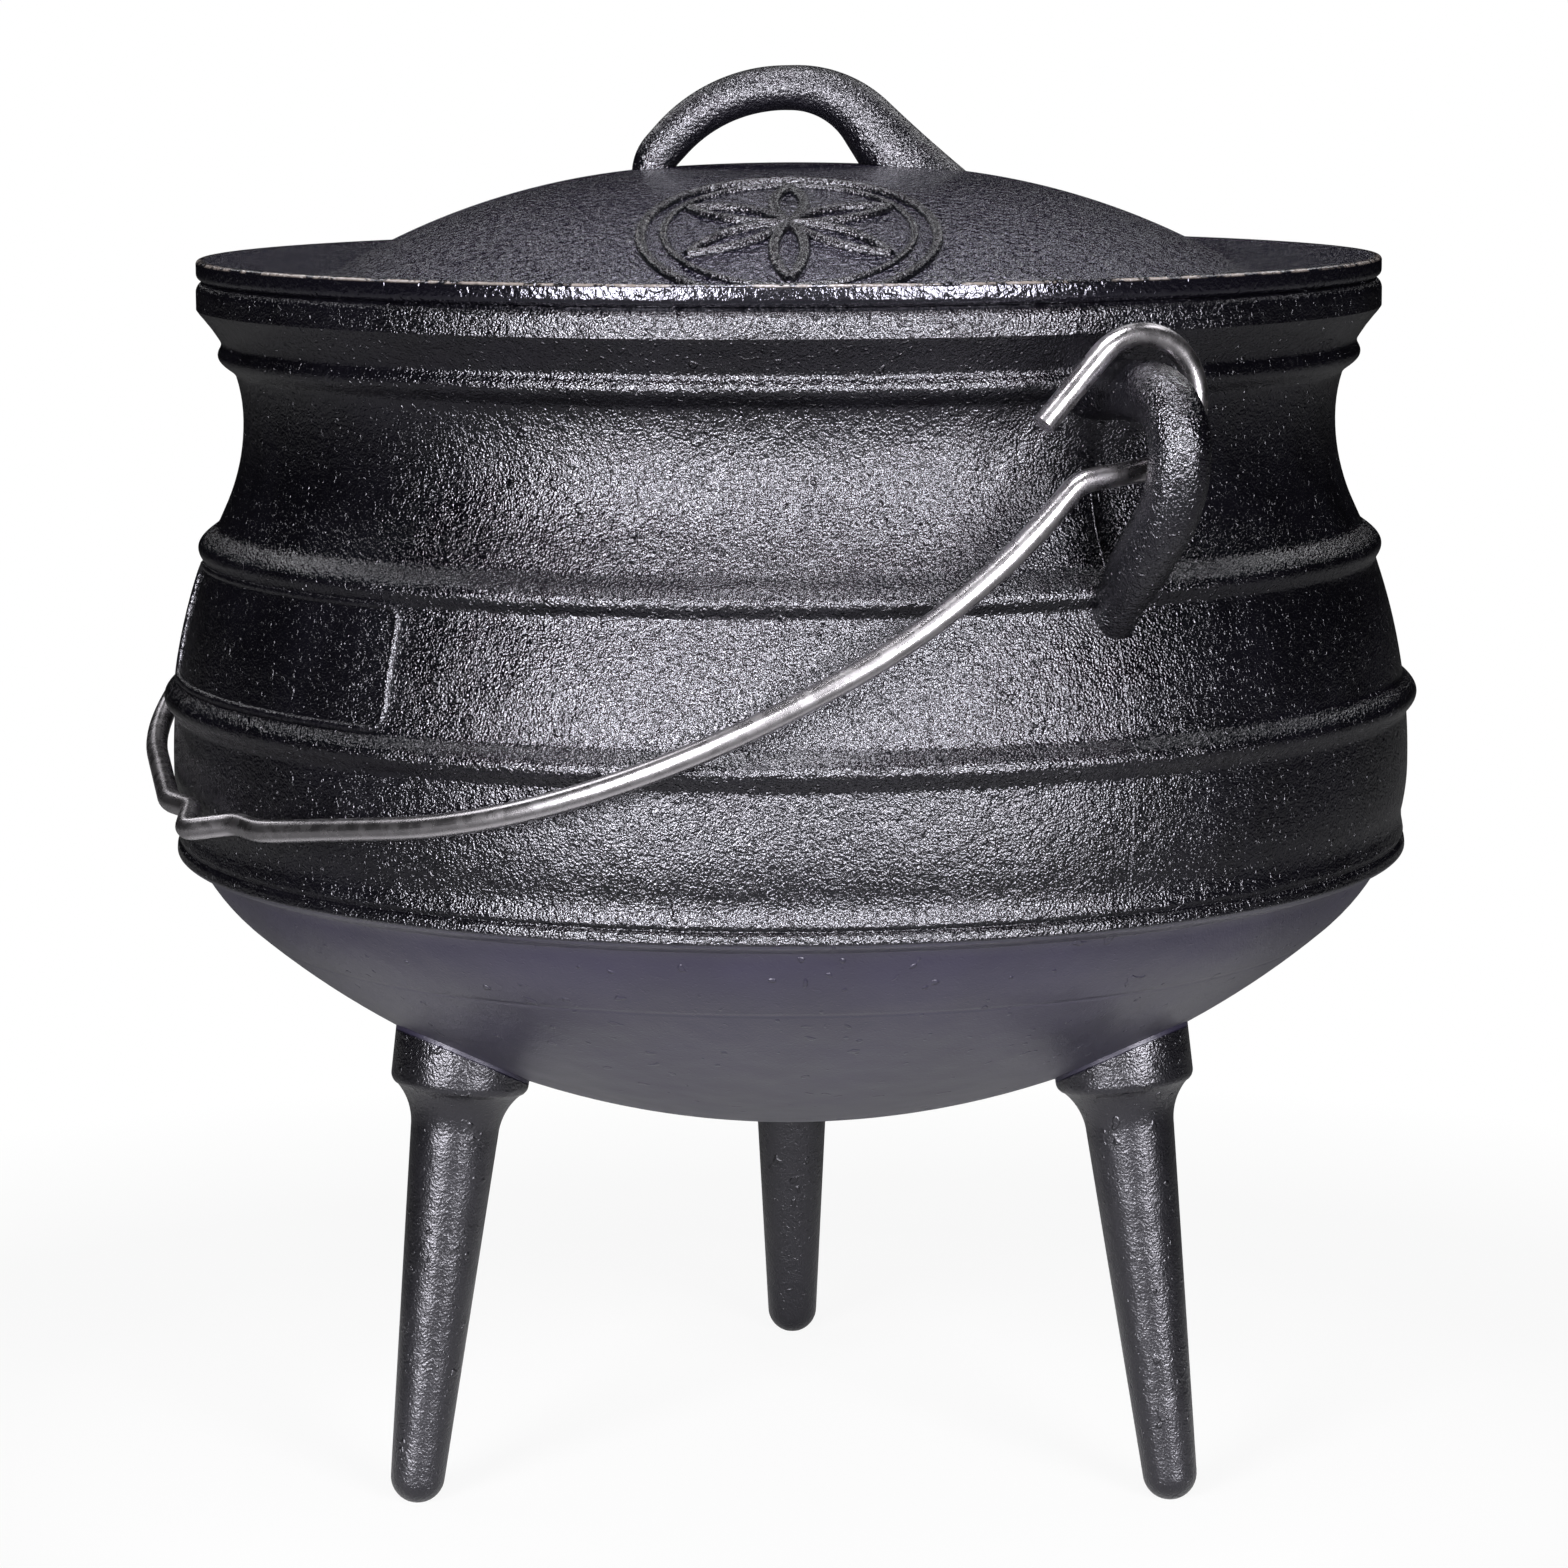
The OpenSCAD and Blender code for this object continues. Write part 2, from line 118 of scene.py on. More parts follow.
class LidSizes(bpy.types.PropertyGroup):
    lid_r: length("Lid radius", "Outer radius of the lid", 131.6, 129, 142)
    lid_rim_h: length("Lid rim", "Height of the lid's rim", 4.5, 3, 7)
    lid_h: length("Lid height", "Height of the lid's middle above the seat", 24.8, 20, 30)
    crown_r: length("Crown radius", "Radius of the gentle crown", 430, 300, 600)
    crown_edge: length("Crown edge", "Distance from the axis where the crown ends", 30, 20, 40)
    dome_r: length("Dome radius", "Radius of the dome outside the crown", 160, 140, 180)
    lid_wall: length("Lid wall", "Thickness of the lid", 4.5, 3.5, 6)
    gutter_r: length("Gutter radius", "Radius of the turn at the dome's foot", 8, 4, 12)
    gutter_z: length("Gutter height", "Height of the gutter above the seat", 0.6, 0, 1.5)
    lid_play: length("Lid play", "Play of the register in the mouth", 2.5, 1, 4)
    lid_turn: turn("Lid turn", "Turn of the lid on the pot", 60, 0, 360)
    grip_h: length("Loop height", "Height of the loop above the lid's middle", 21.54, 18, 28)
    grip_d: length("Loop bar", "Diameter of the loop's bar", 9.9, 8, 12)
    grip_left: length("Straight foot", "Distance of the straight foot from the axis", 30.2, 27, 34)
    grip_right: length("Flared foot", "Distance of the flared foot from the axis", 25.6, 21, 28)
    flare_d: length("Flare", "Diameter of the flared foot", 16.4, 13, 20)
    rosette_r: length("Rosette radius", "Radius of the raised ring", 31.0, 20, 36)
    rosette_out: length("Rosette distance", "Distance of the ring's middle from the axis", 75, 60, 85)
    bead_r: length("Rosette bead", "Radius of the rosette's raised bead", 1.2, 0.5, 1.6)


class BailSizes(bpy.types.PropertyGroup):
    wire_d: length("Wire", "Diameter of the bail's wire", 4.8, 3.5, 6)
    hook_in: length("Hook inset", "Distance of the hook inwards from the ear's outer run", 14, 12, 16)
    hinge_drop: length("Hinge drop", "Depth of the hinge below the ear's top run", 2.2, 0, 4)
    hook_play: length("Hook play", "Gap between the ear's bar and the hook", 2.7, 1.5, 4)
    tail_reach: length("Tail reach", "Reach of the hook's free end", 23.3, 20, 26)
    bend_reach: length("Bend reach", "Reach of the bend below the hook", 21, 19, 24)
    bend_r: length("Bend radius", "Radius of that bend", 8, 6, 12)
    bail_drop: length("Bail drop", "Depth of the bail's middle", 90.9, 85, 98)
    corner_drop: length("Corner drop", "Depth of the bail's corners", 80.4, 72, 84)
    side_reach: length("Side reach", "Reach of the straight sides from the hinge", 57.6, 50, 64)
    corner_turn: turn("Corner turn", "Turn of the corners round the belly from the ears", 46, 40, 50)
    corner_out: length("Corner reach", "How far the corners stand off the belly", 17, 15, 26)
    corner_r: length("Corner radius", "Radius of the wire's bend at the corners", 113, 80, 120)
    rest_gap: length("Rest gap", "Gap between the resting bail and the belly", 0.5, 0.3, 2)
    notch_w: length("Notch width", "Half the width of the notch", 12, 9, 16)
    notch_depth: length("Notch depth", "Depth of the notch", 6.76, 5, 10)


class Finishes(bpy.types.PropertyGroup):
    iron: tint("Pot iron", "Black satin coat on the sand-cast pot", (0.0011, 0.0010, 0.0017))
    # The blue in the bottom's base colour is painted reflection tint, standing in for bluish reflections
    # that the shared sheen can't give it.
    bowl: tint("Bowl iron", "Duller coat on the pot's bottom", (0.0088, 0.0072, 0.0175))
    # The blue in the lid's base colour is painted reflection tint, added to the blue of its sheen.
    lid: tint("Lid iron", "Blue-grey coat on the lid", (0.0026, 0.0021, 0.0062))
    sheen: tint("Coat sheen", "Tint of the pot coat's reflections", (0.92, 0.90, 1.0))
    lid_sheen: tint("Lid sheen", "Tint of the lid coat's reflections", (0.86, 0.84, 1.0))
    # The worn edge colour is partly brown wear and partly a painted highlight along the rim's rounded top
    # edge.
    worn: tint("Worn edge", "Brown wear on the lid's rim", (0.110, 0.094, 0.087))
    steel: tint("Wire steel", "Bright drawn wire", (0.43, 0.41, 0.435))
    # The floor's paleness near the feet is painted light where the pot's own shade falls; further out the
    # floor is darker as painted shade.
    floor: share("Floor", "Paleness of the studio floor round the feet", 0.54, 0.0, 1.0)


# ---- Outlines and paths, in metres ----

def arc(cx, cz, r, start, end, steps):
    """Points on an arc from one angle to another, in degrees."""
    return [(cx + r * math.cos(math.radians(start + (end - start) * i / steps)),
             cz + r * math.sin(math.radians(start + (end - start) * i / steps))) for i in range(steps + 1)]


class Side:
    """The pot's side as radius against height, built as the solid's source builds it."""

    def __init__(self, s):
        self.s = s
        self.bowl_cz = s.under_z + s.bowl_r
        shoulder_in = s.belly_r - s.shoulder_r
        self.shoulder_z = self.bowl_cz - math.sqrt((s.bowl_r - s.shoulder_r) ** 2 - shoulder_in ** 2)
        self.join = math.atan2(self.shoulder_z - self.bowl_cz, shoulder_in)
        self.belly_top = self.shoulder_z + s.belly_flat
        self.neck_z = s.rim_z - s.neck_drop
        self.lip_z = s.rim_z - s.lip_h
        neck_in, neck_up = s.belly_r - s.neck_r, self.neck_z - self.belly_top
        both = (neck_in ** 2 + neck_up ** 2) / (2 * neck_in)
        self.bulge_r = s.belly_bulge * both
        self.hollow_r = both - self.bulge_r
        self.waist = neck_up / both
        lip_out, lip_up = s.mouth_r - s.neck_r, self.lip_z - self.neck_z
        self.flare_r = (lip_out ** 2 + lip_up ** 2) / (2 * lip_out)
        self.start = self.bowl_cz + s.bowl_r * math.sin(self.join)
        self.bands = [(s.rim_z - s.lower_band_drop, s.lower_band_proud, s.band_h),
                      (s.rim_z - s.middle_band_drop, s.band_proud, s.band_h),
                      (s.rim_z - s.upper_band_drop, s.band_proud, s.band_h),
                      (s.rim_z - s.bead_drop, s.bead_proud, s.bead_h)]

    def plain(self, z, t=0.0):
        """Radius at height z, t inside the outer surface, without the bands."""
        s = self.s
        if z < self.start:
            return math.sqrt(max((s.bowl_r - t) ** 2 - (z - self.bowl_cz) ** 2, 0))
        if z < self.shoulder_z:
            arc_out = math.sqrt((s.shoulder_r - t) ** 2 - (self.shoulder_z - z) ** 2)
            return s.belly_r - s.shoulder_r + arc_out
        if z < self.belly_top:
            return s.belly_r - t
        if z < self.belly_top + (self.bulge_r - t) * self.waist:
            arc_out = math.sqrt((self.bulge_r - t) ** 2 - (z - self.belly_top) ** 2)
            return s.belly_r - self.bulge_r + arc_out
        if z < self.neck_z:
            arc_in = math.sqrt((self.hollow_r + t) ** 2 - (self.neck_z - z) ** 2)
            return s.neck_r + self.hollow_r - arc_in
        return s.neck_r + self.flare_r - math.sqrt((self.flare_r + t) ** 2 - (z - self.neck_z) ** 2)

    def sharp(self, z):
        """Radius with the bands.

        The lower one slopes out to a crest, with a fine groove where the moulds met.
        """
        r = self.plain(z)
        middle, proud, h = self.bands[0]
        top, crest, foot = middle + 0.85 * h, middle - 0.12 * h, middle - 0.42 * h
        groove_up, groove_w, groove_deep = 2.6 * MM, 0.45 * MM, 0.8 * MM
        if foot < z < crest:
            return r + proud * math.sin(math.pi / 2 * (z - foot) / (crest - foot)) ** 0.7
        if crest <= z < top:
            groove = groove_deep * math.exp(-((z - crest - groove_up) / groove_w) ** 2)
            return r + proud * (top - z) / (top - crest) - groove
        return r + max([p * math.cos(math.pi * (z - m) / h) if abs(z - m) < h / 2 else 0
                        for m, p, h in self.bands[1:]])

    def soft(self, z):
        """Radius with the bands' roots and tops softened as in a sand casting, the lower one less."""
        reach = 0.7 * MM if z > self.bands[0][0] + self.s.band_h else 0.35 * MM
        return sum(0.2 * self.sharp(z + d * reach) for d in (-1, -0.5, 0, 0.5, 1))


def unit(v):
    return v / v.length


def rounded_path(corners, radii, step):
    """A path through corners with a round bend at each inner one, as points about a step apart."""
    points = [corners[0]]
    for i in range(1, len(corners) - 1):
        a, b, c = corners[i - 1:i + 2]
        u, w = unit(b - a), unit(c - b)
        turned = math.acos(max(-1, min(1, u.dot(w))))
        take = radii[i - 1] * math.tan(turned / 2)
        centre = b - u * take + unit(w - u * u.dot(w)) * radii[i - 1]
        start = b - u * take - centre
        normal = u.cross(w).normalized()
        n = max(3, round(radii[i - 1] * turned / step))
        points += [centre + Matrix.Rotation(turned * j / n, 3, normal) @ start for j in range(n + 1)]
    points.append(corners[-1])
    out = [points[0]]
    for p in points[1:]:
        gap = (p - out[-1]).length
        n = max(1, round(gap / (3 * step)))
        last = out[-1]
        out += [last.lerp(p, j / n) for j in range(1, n + 1)]
    return out


# ---- Modelling steps ----

def rest():
    """Back in object mode with nothing selected."""
    if bpy.context.object and bpy.context.object.mode != "OBJECT":
        bpy.ops.object.mode_set(mode="OBJECT")
    bpy.ops.object.select_all(action="DESELECT")


def chosen(o):
    """That object alone, selected and active."""
    rest()
    bpy.context.view_layer.objects.active = o
    o.select_set(True)


def edit(o):
    """Edit mode on that object, with all of it selected."""
    chosen(o)
    bpy.ops.object.mode_set(mode="EDIT")
    bpy.ops.mesh.select_all(action="SELECT")


def named(name, o=None):
    """Names the object that was just made, or the one given, and its mesh."""
    o = o or bpy.context.object
    o.name = o.data.name = name
    return o


def turned_piece(name, outline, steps):
    """Draws an outline of (radius, height) points and spins it once round the Z axis."""
    rest()
    bpy.ops.mesh.primitive_plane_add(size=MM)
    o = named(name)
    edit(o)
    bpy.ops.mesh.merge(type="CENTER")
    at = Vector((outline[0][0], 0, outline[0][1]))
    bpy.ops.transform.translate(value=at)
    for r, z in outline[1:]:
        to = Vector((r, 0, z))
        bpy.ops.mesh.extrude_vertices_move(TRANSFORM_OT_translate={"value": to - at})
        at = to
    bpy.ops.mesh.select_all(action="SELECT")
    bpy.ops.mesh.spin(steps=steps, angle=2 * math.pi, center=(0, 0, 0), axis=(0, 0, 1))
    bpy.ops.mesh.select_all(action="SELECT")
    bpy.ops.mesh.remove_doubles(threshold=SPIN_JOIN)
    bpy.ops.mesh.normals_make_consistent(inside=False)
    rest()
    return o


def bar_piece(name, path, radii, sides=20, closed=False):
    """Draws a path and gives it a round section, whose radius may change along it."""
    rest()
    bpy.ops.curve.primitive_nurbs_path_add(radius=MM)
    o = named(name)
    bpy.ops.object.mode_set(mode="EDIT")
    bpy.ops.curve.spline_type_set(type="POLY")
    bpy.ops.curve.select_all(action="SELECT")
    start_points = 5
    cuts = max(0, math.ceil((len(path) - start_points) / (start_points - 1)))
    if cuts:
        bpy.ops.curve.subdivide(number_cuts=cuts)
    bpy.ops.object.mode_set(mode="OBJECT")
    spline = o.data.splines[0]
    n = len(spline.points)
    for i, p in enumerate(spline.points):
        k = i * (len(path) - 1) / (n - 1)
        j = min(int(k), len(path) - 2)
        p.co = (*path[j].lerp(path[j + 1], k - j), 1)
        p.radius = (radii if isinstance(radii, float)
                    else radii[j] + (radii[j + 1] - radii[j]) * (k - j))
    spline.use_cyclic_u = closed
    o.data.dimensions = "3D"
    o.data.bevel_depth = 1.0
    o.data.bevel_resolution = max(0, (sides - 4) // 2)
    o.data.use_fill_caps = not closed
    bpy.ops.object.convert(target="MESH")
    o = named(name)
    bpy.ops.object.transform_apply(location=True, rotation=True, scale=True)
    edit(o)
    bpy.ops.mesh.remove_doubles(threshold=BAR_JOIN)
    bpy.ops.mesh.normals_make_consistent(inside=False)
    rest()
    return o


def placed(o, location=(0, 0, 0), rotation=(0, 0, 0)):
    """Puts the piece there and applies its place, so its object ends at the origin."""
    chosen(o)
    o.location, o.rotation_euler = location, rotation
    bpy.ops.object.transform_apply(location=True, rotation=True, scale=True)
    rest()
    return o


def copied(o, name, turn_z):
    """A copy with its own mesh, turned round the pot's axis."""
    chosen(o)
    bpy.ops.object.duplicate(linked=False)
    return placed(named(name), rotation=(0, 0, turn_z))


def cut_or_joined(o, other, operation):
    """Joins another piece to this one, or cuts it out, and removes the other."""
    chosen(o)
    bpy.ops.object.modifier_add(type="BOOLEAN")
    m = o.modifiers[-1]
    m.operation, m.object, m.solver = operation, other, "MANIFOLD"
    bpy.ops.object.modifier_apply(modifier=m.name)
    chosen(other)
    bpy.ops.object.delete()


def merged(o, others):
    """Makes separate raised beads one object with the piece."""
    rest()
    for x in others:
        x.select_set(True)
    o.select_set(True)
    bpy.context.view_layer.objects.active = o
    bpy.ops.object.join()
    rest()


def smooth(o, degrees):
    """Shades the faces smooth where they meet at less than that angle."""
    chosen(o)
    bpy.ops.object.shade_smooth_by_angle(angle=math.radians(degrees))
    rest()


# ---- Materials ----

# Where a coat starts and ends, in metres. Heights are above the ground.
BOWL_CENTRE = (0, 0, 0.2654)        # middle of the round bottom's sphere
BOWL_SKIN = (0.1868, 0.1874)        # distance from that middle
BELLY_FOOT = (0.1410, 0.1418)       # height just under the lower band
LEG_TOP = (0.090, 0.120)            # height of the legs' duller coat
BOWL_RING = 0.1236                  # height of the faint line round the bottom
RIM_FACE = (0.1296, 0.1308)         # distance of the lid's rim from the axis
RIM_WEAR_AND_HIGHLIGHT = (0.1290, 0.1306)         # and of the wear and painted highlight on it
RIM_TOP = (0.27195, 0.27245)        # height of that wear and painted highlight


class Nodes:
    """A new material's nodes, linked by short calls."""

    def __init__(self, name):
        self.mat = bpy.data.materials.new(name)
        self.mat.use_nodes = True
        self.tree = self.mat.node_tree
        self.shader = self.tree.nodes["Principled BSDF"]
        self.place = self.add("ShaderNodeTexCoord").outputs["Object"]

    def add(self, kind, **settings):
        n = self.tree.nodes.new(kind)
        for k, v in settings.items():
            setattr(n, k, v)
        return n

    def link(self, a, b):
        self.tree.links.new(a, b)

    def noise(self, scale, detail, rough=0.5):
        n = self.add("ShaderNodeTexNoise")
        for k, v in (("Scale", scale), ("Detail", detail), ("Roughness", rough), ("Distortion", 0.0)):
            n.inputs[k].default_value = v
        self.link(self.place, n.inputs["Vector"])
        return n.outputs["Fac"]

    def axis(self, name):
        n = self.add("ShaderNodeSeparateXYZ")
        self.link(self.place, n.inputs[0])
        return n.outputs[name]

    def off(self, point):
        """Distance from that point."""
        n = self.add("ShaderNodeVectorMath", operation="DISTANCE")
        self.link(self.place, n.inputs[0])
        n.inputs[1].default_value = point
        return n.outputs["Value"]

    def math(self, how, a, b=None):
        n = self.add("ShaderNodeMath", operation=how)
        for socket, v in zip(n.inputs, (a, b)):
            if isinstance(v, (int, float)):
                socket.default_value = v
            elif v is not None:
                self.link(v, socket)
        return n.outputs[0]

    def spread(self, value, a, b, to_a=0.0, to_b=1.0, how="SMOOTHSTEP"):
        """The value's stretch from a to b, laid out from to_a to to_b."""
        n = self.add("ShaderNodeMapRange", interpolation_type=how)
        self.link(value, n.inputs["Value"])
        for k, v in (("From Min", a), ("From Max", b), ("To Min", to_a), ("To Max", to_b)):
            n.inputs[k].default_value = v
        return n.outputs["Result"]

    def mixed(self, share, a, b):
        """Colour a where the share is 0 and b where it is 1."""
        n = self.add("ShaderNodeMix", data_type="RGBA")
        self.link(share, n.inputs["Factor"])
        for socket, v in ((n.inputs[6], a), (n.inputs[7], b)):
            if isinstance(v, tuple):
                socket.default_value = (*v, 1.0)
            else:
                self.link(v, socket)
        return n.outputs[2]

    def feed(self, socket, value):
        self.link(value, self.shader.inputs[socket])

    def fixed(self, socket, value):
        self.shader.inputs[socket].default_value = value

    def gloss(self, sheen, level):
        self.fixed("Specular IOR Level", level)
        self.fixed("Specular Tint", (*sheen, 1.0))

    def relief(self, height, depth, below=None):
        """Bump of that height map, in metres, over another."""
        n = self.add("ShaderNodeBump")
        n.inputs["Strength"].default_value = 1.0
        n.inputs["Distance"].default_value = depth
        self.link(height, n.inputs["Height"])
        if below is not None:
            self.link(below, n.inputs["Normal"])
        return n.outputs["Normal"]


def shade(c, k):
    return tuple(min(1.0, v * k) for v in c)


def pot_iron(f):
    """Fine grain on the body, a smoother and duller bottom, and duller legs."""
    n = Nodes("pot_iron_coat")
    z = n.axis("Z")
    coarse = n.math("MAXIMUM", n.spread(z, *BELLY_FOOT), n.spread(n.off(BOWL_CENTRE), *BOWL_SKIN))
    grain, lumps, patch = n.noise(1900, 1.5), n.noise(520, 2.0), n.noise(46, 2.0)
    ring = n.spread(n.math("ABSOLUTE", n.math("SUBTRACT", z, BOWL_RING)), 0.0, 0.7 * MM)
    pricks = n.spread(n.noise(270, 1.0), 0.70, 0.76)
    beads = n.spread(n.noise(800, 1.0), 0.64, 0.72)
    fine = n.math("MULTIPLY", n.spread(coarse, 0.0, 1.0, 0.18, 1.0), n.spread(z, *LEG_TOP, 0.45, 1.0))
    skin = n.relief(n.noise(85, 1.0), 0.5 * MM)
    skin = n.relief(n.math("ADD", n.math("MULTIPLY", ring, 0.4), pricks), 0.25 * MM, skin)
    for height, depth in ((lumps, 0.32 * MM), (grain, 0.32 * MM), (beads, 0.16 * MM)):
        skin = n.relief(n.math("MULTIPLY", height, fine), depth, skin)
    n.feed("Normal", skin)
    tone = n.spread(patch, 0.35, 0.65)
    body = n.mixed(tone, shade(f.iron, 0.8), shade(f.iron, 1.3))
    # The bottom's bluer base colour is painted reflection tint.
    bowl = n.mixed(tone, shade(f.bowl, 0.9), shade(f.bowl, 1.1))
    n.feed("Base Color", n.mixed(coarse, bowl, body))
    polish = n.spread(patch, 0.3, 0.7, 0.15, 0.18)
    dull = n.math("ADD", n.spread(coarse, 0.0, 1.0, 0.20, 0.0), n.spread(z, *LEG_TOP, 0.15, 0.0))
    n.feed("Roughness", n.math("ADD", polish, dull))
    n.gloss(f.sheen, 0.7)
    return n.mat


def lid_iron(f):
    """Pitted grain on the dome, and a smoother rim whose upper edge is worn and carries a painted
    highlight.
    """
    n = Nodes("lid_iron_coat")
    x, y = n.axis("X"), n.axis("Y")
    out = n.math("SQRT", n.math("ADD", n.math("MULTIPLY", x, x), n.math("MULTIPLY", y, y)))
    grain, patch = n.noise(720, 2.5, 0.6), n.noise(30, 3.0, 0.55)
    pits = n.spread(n.noise(430, 1.0), 0.58, 0.68)
    dome, face = n.spread(out, *RIM_FACE, 1.0, 0.0), n.spread(out, *RIM_FACE)
    skin = n.relief(n.math("MULTIPLY", n.noise(70, 2.0), dome), 0.8 * MM)
    for height, on_rim, on_dome, depth in ((grain, 0.3, 1.0, 1.1 * MM), (pits, -0.2, -1.0, 0.45 * MM)):
        skin = n.relief(n.math("MULTIPLY", height, n.spread(dome, 0.0, 1.0, on_rim, on_dome)), depth, skin)
    n.feed("Normal", skin)
    # Light brown line on the rim's upper edge: partly wear, partly a painted highlight of the rounded edge.
    upper_edge = n.math("MULTIPLY", n.spread(out, *RIM_WEAR_AND_HIGHLIGHT), n.spread(n.axis("Z"), *RIM_TOP))
    wear = n.math("MULTIPLY", upper_edge, n.spread(n.noise(210, 3.0, 0.6), 0.42, 0.56))
    # The dome's blue base colour carries painted reflection tint.
    dome_tone = n.mixed(n.spread(patch, 0.3, 0.7), shade(f.lid, 0.9), shade(f.lid, 1.1))
    rim_tone = n.mixed(wear, shade(f.iron, 1.5), tuple(f.worn))
    n.feed("Base Color", n.mixed(face, dome_tone, rim_tone))
    polish = n.spread(patch, 0.3, 0.7, 0.13, 0.17)
    n.feed("Roughness", n.math("SUBTRACT", polish, n.math("MULTIPLY", face, 0.01)))
    n.gloss(f.lid_sheen, 0.75)
    return n.mat


def rough_iron(f):
    """Coarser skin on the loop and on the raised lines."""
    n = Nodes("raised_iron_coat")
    grain = n.noise(1700, 1.5)
    n.feed("Normal", n.relief(grain, 0.34 * MM, n.relief(n.noise(500, 2.0), 0.4 * MM)))
    n.feed("Base Color", n.mixed(n.spread(grain, 0.35, 0.65), shade(f.iron, 0.9), shade(f.iron, 1.4)))
    n.fixed("Roughness", 0.21)
    n.gloss(f.sheen, 0.7)
    return n.mat


def wire_steel(f):
    n = Nodes("drawn_steel")
    streak = n.noise(260, 3.0, 0.6)
    n.feed("Normal", n.relief(n.noise(2400, 2.0), 0.02 * MM))
    n.feed("Base Color", n.mixed(n.spread(streak, 0.3, 0.7), shade(f.steel, 0.92), tuple(f.steel)))
    n.fixed("Metallic", 1.0)
    n.feed("Roughness", n.spread(streak, 0.35, 0.65, 0.24, 0.30))
    return n.mat


def coat(o, mat):
    o.data.materials.clear()
    o.data.materials.append(mat)


# ---- Pieces ----

def pot_outline(s):
    """The body's outside, from the bottom's middle up over the lip to the axis."""
    side = Side(s)
    z1 = side.lip_z
    heights, z = [], side.start + 1.0 * MM
    in_groove, by_band, elsewhere = 0.25 * MM, 0.5 * MM, 2.0 * MM
    while z < z1 - 0.4 * MM:
        heights.append(z)
        near = min(abs(z - m) - h / 2 for m, p, h in side.bands) < 1.2 * MM
        fine = abs(z - side.bands[0][0]) < 0.7 * s.band_h
        z += in_groove if fine else by_band if near else elsewhere
    outline = arc(0, side.bowl_cz, s.bowl_r, -90, math.degrees(side.join), 36)
    outline += [(side.soft(z), z) for z in heights]
    outline += [(s.mouth_r - 0.7 * MM, z1 - 0.7 * MM), (s.mouth_r, z1 + 0.3 * MM)]
    outline += arc(s.mouth_r - s.lip_round, s.rim_z - s.lip_round, s.lip_round, 0, 90, 8)
    return outline + [(0, s.rim_z)]


def inside_outline(s):
    """The hollow, from the bottom's middle up to above the rim."""
    side = Side(s)
    inner = s.mouth_r - s.lip_w
    turn_up = math.acos((s.neck_r + side.flare_r - inner) / (side.flare_r + s.wall))
    start = side.bowl_cz + (s.bowl_r - s.wall) * math.sin(side.join)
    top = side.neck_z + (side.flare_r + s.wall) * math.sin(turn_up)
    heights = [start + (top - start) * i / 50 for i in range(1, 50)]
    soft, above = 1.2 * MM, 4 * MM
    outline = arc(0, side.bowl_cz, s.bowl_r - s.wall, -90, math.degrees(side.join), 30)
    outline += [(side.plain(z, s.wall), z) for z in heights]
    outline += [(inner, top), (inner, s.rim_z - soft)]
    for degrees in (22, 45, 68, 90):
        a = math.radians(degrees)
        outline.append((inner + soft * (1 - math.cos(a)), s.rim_z - soft + soft * math.sin(a)))
    return outline + [(inner + soft, s.rim_z + above), (0, s.rim_z + above)]


def ear_bar(s, name):
    """The +X ear's bar: out under the lip, down, and slanting back, slimmer at its lower root."""
    side = Side(s)
    reach, top = s.mouth_r + s.ear_out, s.rim_z - s.ear_drop
    low, root = top - s.ear_side, s.neck_r - 14 * MM
    fall = (reach - root) * math.tan(s.ear_slope)
    corners = [Vector(p) for p in ((root, 0, top), (reach, 0, top), (reach, 0, low), (root, 0, low - fall))]
    path = rounded_path(corners, [s.ear_bend, s.ear_lower_bend], 1.0 * MM)
    taper, taper_reach = 0.20, 7.0 * MM
    fillet, fillet_reach = 0.4 * MM, 2.0 * MM
    radii = []
    for p in path:
        off = max(0.0, p.x - side.sharp(max(p.z, side.start)))
        slim = taper * math.exp(-(off / taper_reach) ** 2) if p.z < low else 0.0
        radii.append(s.ear_d / 2 * (1 - slim) + fillet * math.exp(-(off / fillet_reach) ** 1.3))
    return bar_piece(name, path, radii, 32)


def leg_piece(s, name):
    """A leg on the +X side, from its worn foot up through the cove and the collar into the bottom."""
    side = Side(s)
    collar_round, collar_rise, collar_step = 2.4 * MM, 2.2 * MM, 1.5 * MM
    cove_w = s.collar_r - s.leg_r - collar_step
    cove_r = (cove_w ** 2 + s.cove_h ** 2) / (2 * cove_w)
    shank = s.collar_h - s.cove_h
    across = s.foot_reach / math.cos(s.leg_splay)
    drop = side.bowl_cz - s.foot_r + s.foot_flat - across * math.sin(s.leg_splay)
    top = drop / math.cos(s.leg_splay) - math.sqrt(s.bowl_r ** 2 - across ** 2) + s.collar_r
    outline = arc(0, 0, s.foot_r, -90, 0, 10)
    outline += [(s.foot_r + (s.leg_r - s.foot_r) * i / 12, shank * i / 12) for i in range(1, 12)]
    cove_turn = math.degrees(math.asin(s.cove_h / cove_r))
    outline += arc(s.leg_r + cove_r, shank, cove_r, 180, 180 - cove_turn, 10)
    outline += arc(s.collar_r - collar_round, s.collar_h + collar_rise, collar_round, -50, 0, 5)
    outline += [(s.collar_r, (s.collar_h + top) / 2), (s.collar_r, top), (0, top)]
    leg = turned_piece(name, outline, 56)
    return placed(leg, (s.foot_reach, 0, s.foot_r - s.foot_flat), (0, -s.leg_splay, 0))


def on_side(side, angle, z, sink):
    """A point of the side, sunk a little into it."""
    r = side.soft(z) - sink
    return Vector((r * math.cos(angle), r * math.sin(angle), z))


